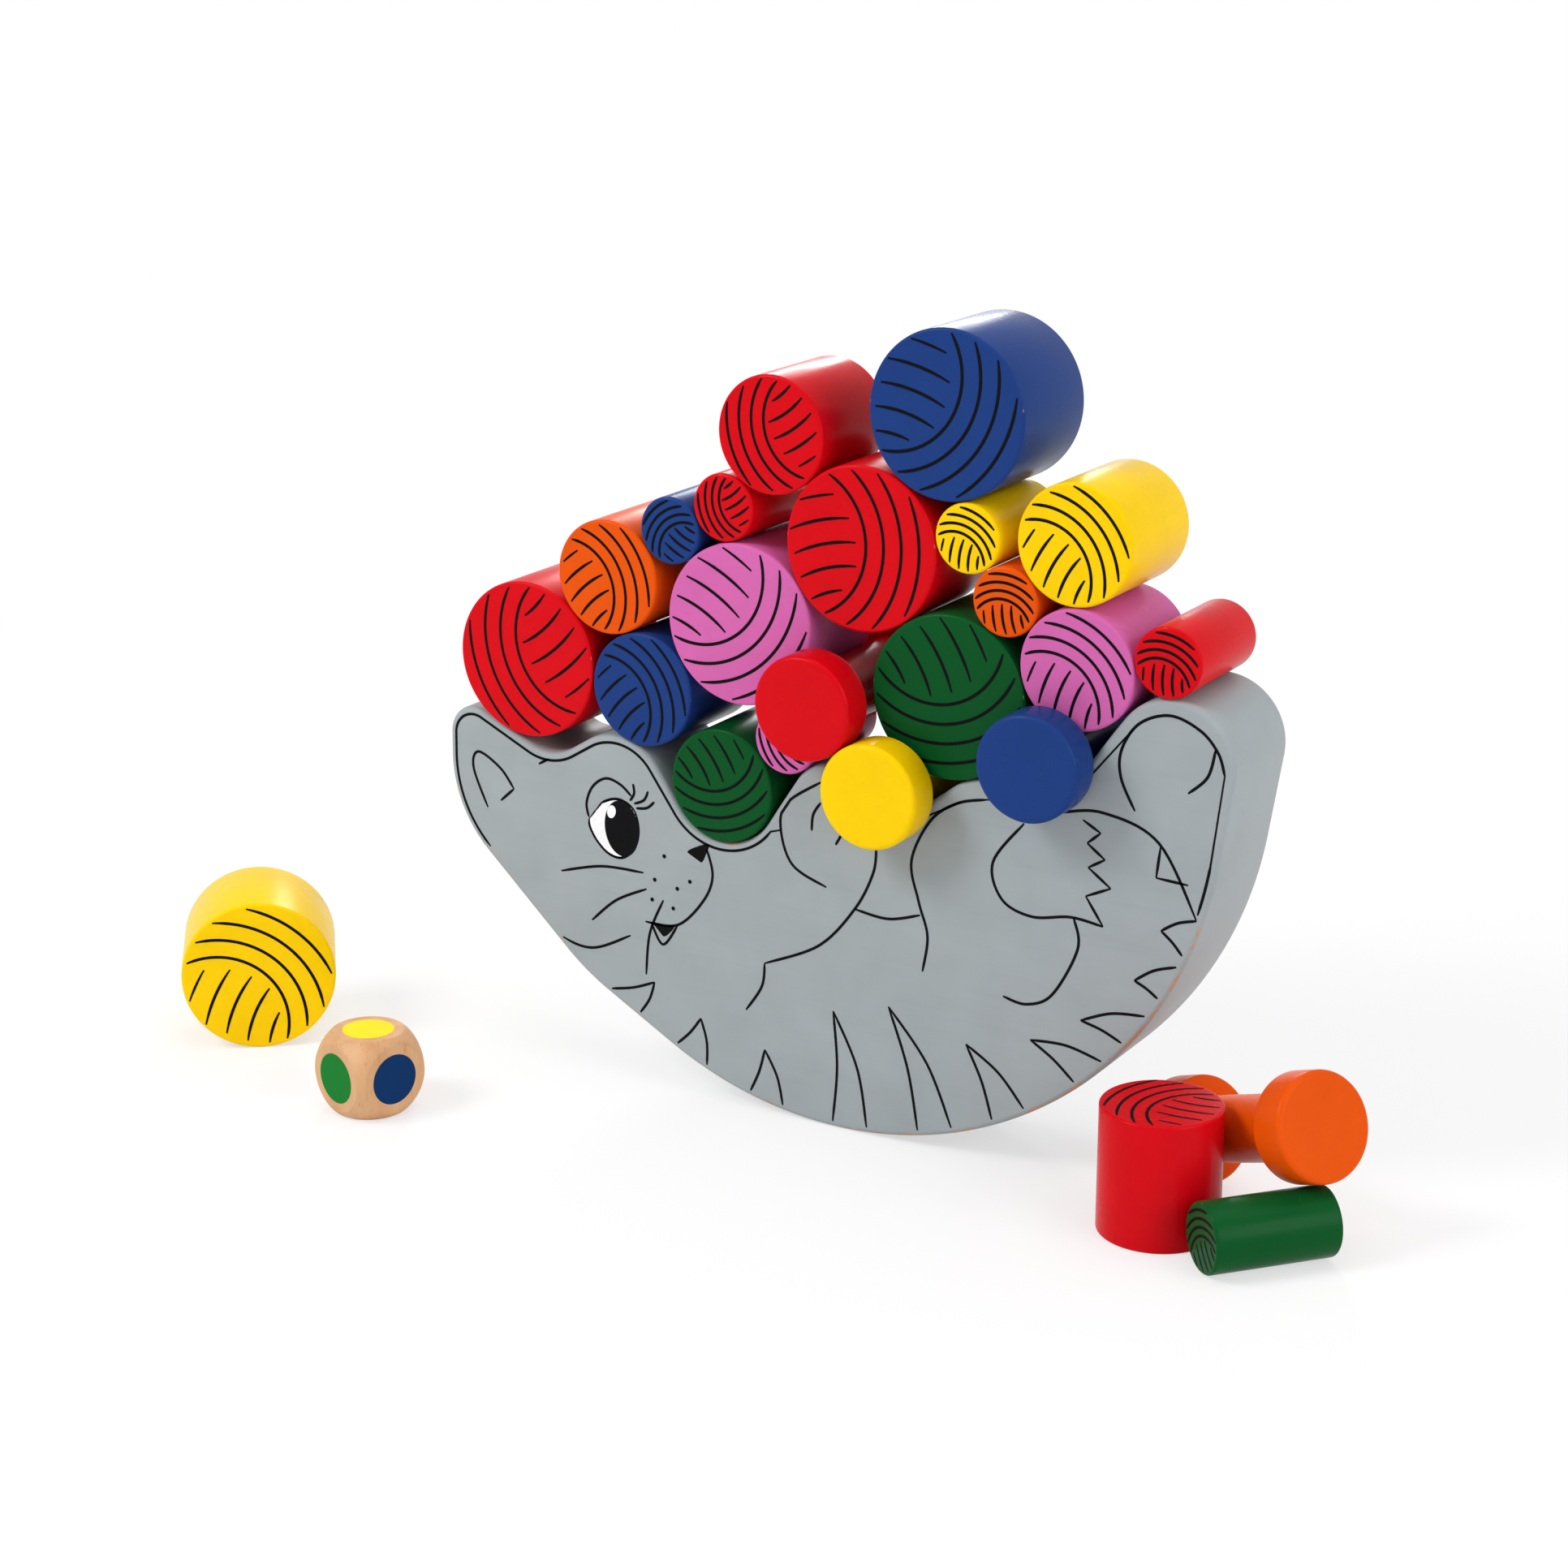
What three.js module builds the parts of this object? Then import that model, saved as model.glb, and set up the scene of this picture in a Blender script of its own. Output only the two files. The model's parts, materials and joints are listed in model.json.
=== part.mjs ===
// Wooden balancing game: a rocker cut as a cat lying on its back, the rollers and dumbbells
// piled along its scalloped upper edge, and the pieces still lying on the table.
// Millimetres, +Z up, +X towards the cat's feet, the printed face of the rocker looking along -Y.

import * as THREE from "three";
import { ConvexGeometry } from "three/addons/geometries/ConvexGeometry.js";

// Rollers: three dowels cut to one length
const SMALL_DIAMETER = 20;
const MEDIUM_DIAMETER = 34.5;
const LARGE_DIAMETER = 48;
const ROLLER_LENGTH = 37.5;
const ROLLER_EDGE = 0.8;

// Dumbbells, each turned in one piece, that straddle the rocker
const DISC_DIAMETER = 31;
const DISC_THICKNESS = 12;
const DISC_EDGE = 1.4;
const NECK_DIAMETER = 19;
const STRADDLE_PLAY = 1.75;

// Rocker board and the colour die
const BOARD_THICKNESS = 36;
const BOARD_EDGE = 1.6;
const BASE_RADIUS = 120;
const DIE_SIZE = 25;
const DIE_ROUNDING = 0.66;

// Clear distance kept between pieces that lie against each other, and the fineness of the facets
const CONTACT_GAP = 0.3;
const CHORD_ERROR = 0.15;
const TURNED_SIDES = 36;
const DIE_FLAT_SIDES = 24;

// Play of the hollows round the roller and the necks that lie in them
const ROLLER_HOLLOW_PLAY = 1;
const NECK_HOLLOW_PLAY = 0.5;

// Rocker outline: circles in order from the ear along the top to the foot and back along the base.
// The outline runs round the humps, dips through the hollows, and joins them by common tangents.
// Places and hump radii are shares of the base radius; a hollow takes its radius from what lies in it.
const OUTLINE = [
  { part: "ear tip", x: -1.071, z: 0.854, hump: 0.075 },
  { part: "ear hollow", x: -0.842, z: 0.967, hollow: 0.125 * BASE_RADIUS },
  { part: "forehead", x: -0.642, z: 0.767, hump: 0.15 },
  { part: "nose hollow", x: -0.325, z: 0.842, hollow: MEDIUM_DIAMETER / 2 + ROLLER_HOLLOW_PLAY },
  { part: "paw", x: -0.029, z: 0.833, hump: 0.1 },
  { part: "paw hollow", x: 0.146, z: 0.913, hollow: NECK_DIAMETER / 2 + NECK_HOLLOW_PLAY },
  { part: "knee", x: 0.4, z: 0.817, hump: 0.146 },
  { part: "knee hollow", x: 0.558, z: 1.046, hollow: NECK_DIAMETER / 2 + NECK_HOLLOW_PLAY },
  { part: "foot", x: 0.867, z: 1.071, hump: 0.154 },
  { part: "base", x: 0, z: 1, hump: 1 },
  { part: "jaw", x: -0.351, z: 0.809, hump: 0.662 },
  { part: "cheek", x: -0.813, z: 0.792, hump: 0.334 },
].map((circle) => ({
  x: circle.x * BASE_RADIUS,
  z: circle.z * BASE_RADIUS,
  radius: circle.hollow ?? circle.hump * BASE_RADIUS,
  hollow: circle.hollow !== undefined,
}));

const COLOURS = {
  red: 0xd0101c,
  blue: 0x1d3f86,
  green: 0x0a5a2a,
  yellow: 0xf7c600,
  orange: 0xe85a10,
  pink: 0xd069b4,
  grey: 0x9aa1a6,
  beech: 0xdcb287,
};

// The pile: each piece's place across the rocker in shares of the base radius, and the pieces, or the
// board, that it rests on. The second word of a name is the piece's size.
const PILE = [
  { name: "green_medium_roller", x: -0.325, z: 0.833, on: ["board"] },
  { name: "blue_medium_roller", x: -0.55, z: 1.058, on: ["board"] },
  { name: "red_large_roller_left", x: -0.9, z: 1.079, on: ["board", "blue_medium_roller"] },
  { name: "yellow_dumbbell", x: 0.146, z: 0.908, on: ["board"] },
  { name: "blue_dumbbell", x: 0.558, z: 1.046, on: ["board"] },
  { name: "pink_small_roller", x: -0.142, z: 0.988, on: ["board", "green_medium_roller"] },
  { name: "red_dumbbell", x: -0.013, z: 1.117, on: ["pink_small_roller", "yellow_dumbbell"] },
  { name: "green_large_roller", x: 0.3, z: 1.158, on: ["board", "blue_dumbbell"] },
  { name: "pink_large_roller", x: -0.267, z: 1.242, on: ["blue_medium_roller", "pink_small_roller"] },
  { name: "pink_medium_roller", x: 0.633, z: 1.271, on: ["blue_dumbbell", "green_large_roller"] },
  { name: "red_small_roller_right", x: 0.867, z: 1.321, on: ["board", "pink_medium_roller"] },
  { name: "orange_medium_roller", x: -0.658, z: 1.321, on: ["red_large_roller_left", "blue_medium_roller"] },
  { name: "blue_small_roller", x: -0.467, z: 1.446, on: ["orange_medium_roller", "pink_large_roller"] },
  { name: "red_small_roller_left", x: -0.329, z: 1.521, on: ["blue_small_roller", "pink_large_roller"] },
  { name: "red_large_roller_middle", x: 0.067, z: 1.488, on: ["pink_large_roller", "green_large_roller"] },
  { name: "orange_small_roller", x: 0.45, z: 1.404, on: ["green_large_roller", "pink_medium_roller"] },
  { name: "yellow_small_roller", x: 0.35, z: 1.538, on: ["red_large_roller_middle", "orange_small_roller"] },
  { name: "yellow_medium_roller", x: 0.629, z: 1.558, on: ["orange_small_roller", "pink_medium_roller"] },
  { name: "red_medium_roller_top", x: -0.2, z: 1.717, on: ["red_small_roller_left", "red_large_roller_middle"] },
  { name: "blue_large_roller", x: 0.296, z: 1.821, on: ["red_large_roller_middle", "yellow_small_roller"] },
];
const SETTLING_ROUNDS = 400;
const PROPPING_ROUNDS = 20;

// Pieces on the table: the middle of each in plan and the way its axis points, turned from +Y
const STANDING_ROLLER = { name: "red_medium_roller_standing", x: 111.4, y: -33.3 };
const LYING_ROLLER = { name: "yellow_large_roller", x: -199.5, y: -40, heading: 38.7 };
const PROP_ROLLER = { name: "green_small_roller", x: 145.1, y: -39.1, heading: -41 };
const PROPPED_DUMBBELL = { name: "orange_dumbbell", heading: 61.5, propAlong: 16.5 };
const DIE = { name: "colour_die", x: -129, y: -75, heading: -16.5 };

const rollerDiameters = { small: SMALL_DIAMETER, medium: MEDIUM_DIAMETER, large: LARGE_DIAMETER };
const neckLength = Math.max(BOARD_THICKNESS, ROLLER_LENGTH) + 2 * STRADDLE_PLAY;
const dumbbellLength = neckLength + 2 * DISC_THICKNESS;

// Point where the common tangent leaves one outline circle, and where it meets the next one
function commonTangent(from, to) {
  const signedFrom = from.hollow ? from.radius : -from.radius;
  const signedTo = to.hollow ? to.radius : -to.radius;
  const across = Math.hypot(to.x - from.x, to.z - from.z);
  const centreLine = Math.atan2(to.z - from.z, to.x - from.x);
  const direction = centreLine - Math.asin((signedTo - signedFrom) / across);
  const normalX = -Math.sin(direction);
  const normalZ = Math.cos(direction);
  return {
    leave: Math.atan2(-Math.sign(signedFrom) * normalZ, -Math.sign(signedFrom) * normalX),
    meet: Math.atan2(-Math.sign(signedTo) * normalZ, -Math.sign(signedTo) * normalX),
  };
}

// The rocker's outline as points, with steps short enough to keep the chord error
function outlinePoints() {
  const points = [];
  const tangents = OUTLINE.map((circle, i) => commonTangent(circle, OUTLINE[(i + 1) % OUTLINE.length]));
  OUTLINE.forEach((circle, i) => {
    const start = tangents[(i + OUTLINE.length - 1) % OUTLINE.length].meet;
    const turn = circle.hollow ? 1 : -1;
    let sweep = turn * (tangents[i].leave - start);
    while (sweep < 0) sweep += 2 * Math.PI;
    const steps = Math.ceil(sweep / (2 * Math.acos(1 - CHORD_ERROR / circle.radius)));
    for (let step = 0; step <= steps; step++) {
      const angle = start + (turn * sweep * step) / steps;
      points.push(new THREE.Vector2(
        circle.x + circle.radius * Math.cos(angle),
        circle.z + circle.radius * Math.sin(angle),
      ));
    }
  });
  return points;
}

function nearestOnOutline(points, x, z) {
  let best = null;
  points.forEach((a, i) => {
    const b = points[(i + 1) % points.length];
    const dx = b.x - a.x;
    const dz = b.y - a.y;
    const share = THREE.MathUtils.clamp(((x - a.x) * dx + (z - a.y) * dz) / (dx * dx + dz * dz), 0, 1);
    const offX = x - a.x - share * dx;
    const offZ = z - a.y - share * dz;
    const distance = Math.hypot(offX, offZ);
    if (!best || distance < best.distance) best = { distance, offX, offZ };
  });
  return best;
}

const colourOf = (name) => COLOURS[name.split("_")[0]];
const sizeOf = (name) => name.split("_")[1];

// Radius that a piece shows to the pieces beside it in the plane of the board
const contactRadius = (piece) => (piece.size === "dumbbell" ? NECK_DIAMETER : rollerDiameters[piece.size]) / 2;

// Distance that two pieces keep between their axes when they touch
function touchingDistance(a, b) {
  const bothDumbbells = a.size === "dumbbell" && b.size === "dumbbell";
  return CONTACT_GAP + (bothDumbbells ? DISC_DIAMETER : contactRadius(a) + contactRadius(b));
}

// Places the pieces of the pile one by one: each moves from its given place until it lies on what
// holds it up, and then until it reaches into none of the pieces placed before it
function settlePile(outline) {
  const placed = [];
  const moveToTouch = (piece, fromX, fromZ, reach, sticks) => {
    const distance = Math.hypot(fromX, fromZ);
    const excess = distance - reach;
    if (excess > 0 && !sticks) return;
    piece.x -= (fromX / distance) * excess;
    piece.z -= (fromZ / distance) * excess;
  };
  const touchBoard = (piece, sticks) => {
    const nearest = nearestOnOutline(outline, piece.x, piece.z);
    moveToTouch(piece, nearest.offX, nearest.offZ, contactRadius(piece) + CONTACT_GAP, sticks);
  };
  const touchPiece = (piece, other, sticks) => {
    moveToTouch(piece, piece.x - other.x, piece.z - other.z, touchingDistance(piece, other), sticks);
  };
  for (const given of PILE) {
    const piece = {
      name: given.name,
      size: sizeOf(given.name),
      x: given.x * BASE_RADIUS,
      z: given.z * BASE_RADIUS,
      on: given.on,
    };
    for (let round = 0; round < SETTLING_ROUNDS; round++) {
      const seating = round < SETTLING_ROUNDS / 2;
      touchBoard(piece, seating && piece.on.includes("board"));
      placed.forEach((other) => touchPiece(piece, other, seating && piece.on.includes(other.name)));
    }
    placed.push(piece);
  }
  return placed;
}

function paintedMesh(name, geometry, colour, roughness) {
  const material = new THREE.MeshStandardMaterial({ color: colour, roughness, metalness: 0 });
  const mesh = new THREE.Mesh(geometry, material);
  mesh.name = name;
  return mesh;
}

// Half of a turned end, from the axis out over the chamfered rim, at height y on the lathe axis
function turnedEnd(radius, y, edge) {
  const inwards = -Math.sign(y) * edge;
  return [
    new THREE.Vector2(0, y),
    new THREE.Vector2(radius - edge, y),
    new THREE.Vector2(radius, y + inwards),
  ];
}

function rollerGeometry(diameter) {
  const half = ROLLER_LENGTH / 2;
  const profile = [
    ...turnedEnd(diameter / 2, -half, ROLLER_EDGE),
    ...turnedEnd(diameter / 2, half, ROLLER_EDGE).reverse(),
  ];
  return new THREE.LatheGeometry(profile, TURNED_SIDES);
}

function dumbbellGeometry() {
  const end = dumbbellLength / 2;
  const inner = neckLength / 2;
  const disc = DISC_DIAMETER / 2;
  const neck = NECK_DIAMETER / 2;
  const innerRim = (side) => [
    new THREE.Vector2(disc, side * (inner + DISC_EDGE)),
    new THREE.Vector2(disc - DISC_EDGE, side * inner),
    new THREE.Vector2(neck, side * inner),
  ];
  const profile = [
    ...turnedEnd(disc, -end, DISC_EDGE),
    ...innerRim(-1),
    ...innerRim(1).reverse(),
    ...turnedEnd(disc, end, DISC_EDGE).reverse(),
  ];
  return new THREE.LatheGeometry(profile, TURNED_SIDES);
}

function pieceGeometry(size) {
  return size === "dumbbell" ? dumbbellGeometry() : rollerGeometry(rollerDiameters[size]);
}

function makeRocker(outline) {
  const geometry = new THREE.ExtrudeGeometry(new THREE.Shape(outline), {
    depth: BOARD_THICKNESS - 2 * BOARD_EDGE,
    steps: 1,
    bevelEnabled: true,
    bevelThickness: BOARD_EDGE,
    bevelSize: BOARD_EDGE,
    bevelOffset: -BOARD_EDGE,
    bevelSegments: 2,
  });
  const rocker = paintedMesh("cat_rocker", geometry, COLOURS.grey, 0.45);
  rocker.rotation.x = Math.PI / 2;
  rocker.position.y = BOARD_THICKNESS / 2 - BOARD_EDGE;
  return rocker;
}

// The rocker with its pile, which rock as one about the centre of the base curve
function makeRockingGroup() {
  const outline = outlinePoints();
  const group = new THREE.Group();
  group.add(makeRocker(outline));
  for (const piece of settlePile(outline)) {
    const mesh = paintedMesh(piece.name, pieceGeometry(piece.size), colourOf(piece.name), 0.35);
    mesh.position.set(piece.x, 0, piece.z);
    group.add(mesh);
  }
  return group;
}

function makeStandingRoller() {
  const mesh = paintedMesh(STANDING_ROLLER.name, rollerGeometry(MEDIUM_DIAMETER), COLOURS.red, 0.35);
  mesh.rotation.x = Math.PI / 2;
  mesh.position.set(STANDING_ROLLER.x, STANDING_ROLLER.y, ROLLER_LENGTH / 2);
  return mesh;
}

function makeLyingRoller(spec, diameter) {
  const mesh = paintedMesh(spec.name, rollerGeometry(diameter), colourOf(spec.name), 0.35);
  mesh.rotation.z = THREE.MathUtils.degToRad(spec.heading);
  mesh.position.set(spec.x, spec.y, diameter / 2);
  return mesh;
}

// The dumbbell on the table leans with its near disc on top of the small roller: the tilt and the
// height at which the disc crosses the roller depend on each other, so they are found in rounds
function makeProppedDumbbell() {
  const geometry = dumbbellGeometry();
  const mesh = paintedMesh(PROPPED_DUMBBELL.name, geometry, COLOURS.orange, 0.35);
  const propHeading = THREE.MathUtils.degToRad(PROP_ROLLER.heading);
  const heading = THREE.MathUtils.degToRad(PROPPED_DUMBBELL.heading);
  const restLine = dumbbellLength - DISC_THICKNESS / 2;
  let rise = 0;
  let tilt = 0;
  for (let round = 0; round < PROPPING_ROUNDS; round++) {
    const lean = Math.hypot(1, Math.tan(tilt) / Math.sin(propHeading - heading));
    rise = SMALL_DIAMETER / 2 + (SMALL_DIAMETER / 2 + CONTACT_GAP) * lean;
    tilt = Math.asin(rise / restLine);
  }
  const touch = new THREE.Vector3(
    PROP_ROLLER.x - PROPPED_DUMBBELL.propAlong * Math.sin(propHeading),
    PROP_ROLLER.y + PROPPED_DUMBBELL.propAlong * Math.cos(propHeading),
    rise,
  );
  mesh.rotation.set(-tilt, 0, heading, "ZYX");
  const offset = new THREE.Vector3(0, (dumbbellLength - DISC_THICKNESS) / 2, DISC_DIAMETER / 2);
  mesh.position.copy(touch).add(offset.applyEuler(mesh.rotation));
  return mesh;
}

// The die is a cube tumbled round: a sphere about its middle takes its edges and corners and leaves
// a round flat on every side
function makeDie() {
  const half = DIE_SIZE / 2;
  const tumbled = DIE_ROUNDING * DIE_SIZE;
  const flat = Math.sqrt(tumbled ** 2 - half ** 2);
  const points = [];
  const cycle = (v) => new THREE.Vector3(v.y, v.z, v.x);
  const addAllRoundTheAxes = (v) => points.push(v, cycle(v), cycle(cycle(v)));
  for (const side of [-1, 1]) {
    for (let step = 0; step < DIE_FLAT_SIDES; step++) {
      const angle = (2 * Math.PI * step) / DIE_FLAT_SIDES;
      addAllRoundTheAxes(new THREE.Vector3(side * half, flat * Math.cos(angle), flat * Math.sin(angle)));
    }
    for (const other of [-1, 1]) {
      for (const lift of [-1, -0.45, 0, 0.45, 1]) {
        addAllRoundTheAxes(new THREE.Vector3(side, other, lift).setLength(tumbled));
      }
    }
  }
  const mesh = paintedMesh(DIE.name, new ConvexGeometry(points), COLOURS.beech, 0.6);
  mesh.rotation.z = THREE.MathUtils.degToRad(DIE.heading);
  mesh.position.set(DIE.x, DIE.y, half);
  return mesh;
}

const game = new THREE.Group();
game.add(
  makeRockingGroup(),
  makeStandingRoller(),
  makeLyingRoller(LYING_ROLLER, LARGE_DIAMETER),
  makeLyingRoller(PROP_ROLLER, SMALL_DIAMETER),
  makeProppedDumbbell(),
  makeDie(),
);

// The origin is the middle of the set's footprint, on the table
game.updateMatrixWorld(true);
const extent = new THREE.Box3().setFromObject(game, true);
const middle = extent.getCenter(new THREE.Vector3());
game.position.set(-middle.x, -middle.y, -extent.min.z);

export default game;
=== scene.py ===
"""Dresses the wooden balancing game: smooth turned pieces, the printed rocker, lacquer, floor and light.

Lengths are written in millimetres and turned into metres where a mesh is made.
"""
import json
import math

import bmesh
import bpy
from mathutils import Matrix, Vector


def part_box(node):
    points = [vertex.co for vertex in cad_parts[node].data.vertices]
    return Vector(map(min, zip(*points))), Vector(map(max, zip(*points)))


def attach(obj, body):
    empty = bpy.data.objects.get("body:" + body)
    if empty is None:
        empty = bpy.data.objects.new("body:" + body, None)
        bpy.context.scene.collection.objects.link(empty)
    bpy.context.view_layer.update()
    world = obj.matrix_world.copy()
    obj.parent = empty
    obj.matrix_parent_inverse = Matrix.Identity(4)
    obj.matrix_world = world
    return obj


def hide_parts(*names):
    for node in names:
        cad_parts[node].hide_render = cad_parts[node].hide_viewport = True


MM = 0.001

# Turned pieces
ROLLER_EDGE = 0.9
DISC_EDGE = 1.5
DISC_THICKNESS = 12.0
NECK_DIAMETER = 19.0
NECK_FILLET = 0.6
TURNED_SIDES = 144
EDGE_STEPS = 5

# Rocker board: circles of its outline in order, with places and humps in shares of the base radius
# and the hollows' radii in millimetres
BOARD_EDGE = 1.6
OUTLINE_STEP = 0.9
BASE_RADIUS = 120.0
ROLLER_HOLLOW = 18.25
NECK_HOLLOW = 10.0
OUTLINE = [
    ("ear tip", -1.071, 0.854, 0.075 * BASE_RADIUS, False),
    ("ear hollow", -0.842, 0.967, 0.125 * BASE_RADIUS, True),
    ("forehead", -0.642, 0.767, 0.15 * BASE_RADIUS, False),
    ("nose hollow", -0.325, 0.842, ROLLER_HOLLOW, True),
    ("paw", -0.029, 0.833, 0.1 * BASE_RADIUS, False),
    ("paw hollow", 0.146, 0.913, NECK_HOLLOW, True),
    ("knee", 0.4, 0.817, 0.146 * BASE_RADIUS, False),
    ("knee hollow", 0.558, 1.046, NECK_HOLLOW, True),
    ("foot", 0.867, 1.071, 0.154 * BASE_RADIUS, False),
    ("base", 0.0, 1.0, BASE_RADIUS, False),
    ("jaw", -0.351, 0.809, 0.662 * BASE_RADIUS, False),
    ("cheek", -0.813, 0.792, 0.334 * BASE_RADIUS, False),
]

# Die: a cube tumbled round by a sphere, in shares of its size, and its painted spots
DIE_ROUNDING = 0.66
DIE_RIM_SIDES = 96
DIE_RIM_EASE = 0.25
DIE_BALL_POINTS = 12000
DIE_FLAT_NORMAL = 0.9999
DIE_SPOT_DIAMETER = 15.5

# Each spot's turn from the top face, in degrees, and the axis of that turn
DIE_SPOTS = {
    "yellow": (0.0, "X"),
    "red": (180.0, "X"),
    "orange": (90.0, "X"),
    "green": (-90.0, "X"),
    "pink": (90.0, "Y"),
    "blue": (-90.0, "Y"),
}

# Printed ink: it stands a hair proud of the lacquer and reaches as far into it. A stroke starts narrow
# and widens by a share of its width at each of its first points.
INK_RISE = 0.06
ROLLER_LINE = 0.95
ROLLER_LINE_LEAST = 0.8
ROLLER_LINE_GROWTH = 120.0
CAT_LINE = 0.85
STROKE_END = 0.55
STROKE_WIDENING = 0.15
CURVE_STEPS = 10
BORDER_INSET = 2.3

# Colours as linear light
PAINTS = {
    "red": (0.64, 0.002, 0.007),
    "blue": (0.012, 0.044, 0.20),
    "green": (0.002, 0.082, 0.016),
    "yellow": (0.93, 0.60, 0.001),
    "orange": (0.76, 0.085, 0.002),
    "pink": (0.62, 0.13, 0.40),
}
# Prints of the die that differ from the lacquer of the same name
DIE_PRINTS = {
    "green": (0.001, 0.19, 0.02),
    "blue": (0.001, 0.03, 0.12),
    "yellow": (0.93, 0.74, 0.001),
}
GREY = (0.345, 0.385, 0.40)
BEECH_LIGHT = (0.66, 0.38, 0.185)
BEECH_DARK = (0.44, 0.21, 0.085)
INK = (0.003, 0.003, 0.004)
EYE_WHITE = (0.86, 0.87, 0.88)

# Lacquer and ink: a low refraction index, so that the white room puts no veil on deep colours, then
# roughness, share of rubbed rim, and the fineness of each pattern
THIN_GLOSS = 1.15
ROLLER_ROUGHNESS = 0.26
ROLLER_WEAR = 0.02
BOARD_ROUGHNESS = 0.34
BOARD_WEAR = 0.09
PRINT_ROUGHNESS = 0.4
CLOUD_SCALE = 55.0
GRAIN_SCALE = 420.0
PEEL_SCALE = 900.0
RUB_SCALE = 160.0
INK_SCALE = 700.0
BEECH_GRAIN_SCALE = 130.0
BEECH_FLECK_SCALE = 900.0
BEECH_TONE_SCALE = 40.0
ALONG_AXIS = (1.0, 1.0, 0.08)
ALONG_BOARD = (0.08, 1.0, 1.0)
ALONG_GRAIN = (1.0, 1.0, 0.09)
ALONG_FLECK = (1.0, 1.0, 0.16)

# Turn of the wool print on each roller's end, in degrees anticlockwise as it is looked at
PRINT_TURNS = {
    "red_large_roller_left": 200,
    "red_large_roller_middle": -5,
    "red_medium_roller_top": 195,
    "red_medium_roller_standing": 165,
    "red_small_roller_left": 195,
    "red_small_roller_right": 70,
    "blue_large_roller": -35,
    "blue_medium_roller": 25,
    "blue_small_roller": 130,
    "green_large_roller": -80,
    "green_medium_roller": -75,
    "green_small_roller": 110,
    "yellow_large_roller": 45,
    "yellow_medium_roller": 40,
    "yellow_small_roller": 60,
    "orange_medium_roller": 20,
    "orange_small_roller": 80,
    "pink_large_roller": -50,
    "pink_medium_roller": 50,
    "pink_small_roller": 200,
}

# Camera, from the shapes of the rollers' ends: angles, distance to its target, and the target
CAMERA_AZIMUTH = 30.65
CAMERA_ELEVATION = 17.2
CAMERA_DISTANCE = 945.0
CAMERA_TARGET = (-17.4, -18.75, 104.5)
CAMERA_FOCUS_PIXELS = 4012.0
PHOTO_PIXELS = 1932
SENSOR = 36.0
CAMERA_REACH = 50.0

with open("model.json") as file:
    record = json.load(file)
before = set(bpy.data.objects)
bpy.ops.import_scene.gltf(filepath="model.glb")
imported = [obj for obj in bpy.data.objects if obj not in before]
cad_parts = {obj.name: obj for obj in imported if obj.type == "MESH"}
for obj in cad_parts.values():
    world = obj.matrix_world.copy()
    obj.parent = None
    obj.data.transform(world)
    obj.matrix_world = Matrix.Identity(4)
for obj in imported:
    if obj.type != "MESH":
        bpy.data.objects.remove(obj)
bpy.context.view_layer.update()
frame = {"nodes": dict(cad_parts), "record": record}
nodes = frame["nodes"]
body_of_node = {
    node: body for body, members in frame["record"]["behaviour"]["bodies"].items() for node in members
}


# Materials

class Graph:
    """Short calls for building one material's nodes."""

    def __init__(self, name):
        self.material = bpy.data.materials.new(name)
        self.material.use_nodes = True
        self.tree = self.material.node_tree
        self.shader = self.tree.nodes["Principled BSDF"]

    def node(self, kind, **inputs):
        made = self.tree.nodes.new(kind)
        for key, value in inputs.items():
            self.feed(made, key.replace("_", " "), value)
        return made

    def feed(self, node, key, value):
        socket = node.inputs[key]
        if isinstance(value, bpy.types.NodeSocket):
            self.tree.links.new(value, socket)
        else:
            socket.default_value = value

    def place(self, scale):
        coordinates = self.tree.nodes.new("ShaderNodeTexCoord")
        mapping = self.tree.nodes.new("ShaderNodeMapping")
        self.tree.links.new(coordinates.outputs["Object"], mapping.inputs["Vector"])
        mapping.inputs["Scale"].default_value = scale
        return mapping.outputs["Vector"]

    def noise(self, scale, detail=3.0, stretch=(1.0, 1.0, 1.0)):
        made = self.node("ShaderNodeTexNoise", Scale=scale, Detail=detail)
        self.tree.links.new(self.place(stretch), made.inputs["Vector"])
        return made.outputs["Fac"]

    def spread(self, value, low, high, to_low, to_high):
        made = self.tree.nodes.new("ShaderNodeMapRange")
        made.inputs["From Min"].default_value = low
        made.inputs["From Max"].default_value = high
        made.inputs["To Min"].default_value = to_low
        made.inputs["To Max"].default_value = to_high
        self.tree.links.new(value, made.inputs["Value"])
        return made.outputs["Result"]

    def math(self, operation, first, second):
        made = self.tree.nodes.new("ShaderNodeMath")
        made.operation = operation
        for socket, value in zip(made.inputs, (first, second)):
            if isinstance(value, bpy.types.NodeSocket):
                self.tree.links.new(value, socket)
            else:
                socket.default_value = value
        return made.outputs["Value"]

    def mix(self, share, first, second):
        made = self.tree.nodes.new("ShaderNodeMix")
        made.data_type = "RGBA"
        for key, value in (("Factor", share), ("A", first), ("B", second)):
            socket = next(s for s in made.inputs if s.name == key and s.enabled)
            if isinstance(value, bpy.types.NodeSocket):
                self.tree.links.new(value, socket)
            else:
                socket.default_value = value if key == "Factor" else (*value, 1.0)
        return next(s for s in made.outputs if s.enabled)

    def attribute(self, name):
        made = self.tree.nodes.new("ShaderNodeAttribute")
        made.attribute_name = name
        return made.outputs["Fac"]

    def bump(self, height, strength, distance):
        made = self.node("ShaderNodeBump", Strength=strength, Distance=distance, Height=height)
        self.tree.links.new(made.outputs["Normal"], self.shader.inputs["Normal"])


def shade(colour, factor):
    return tuple(min(1.0, channel * factor) for channel in colour)


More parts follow.
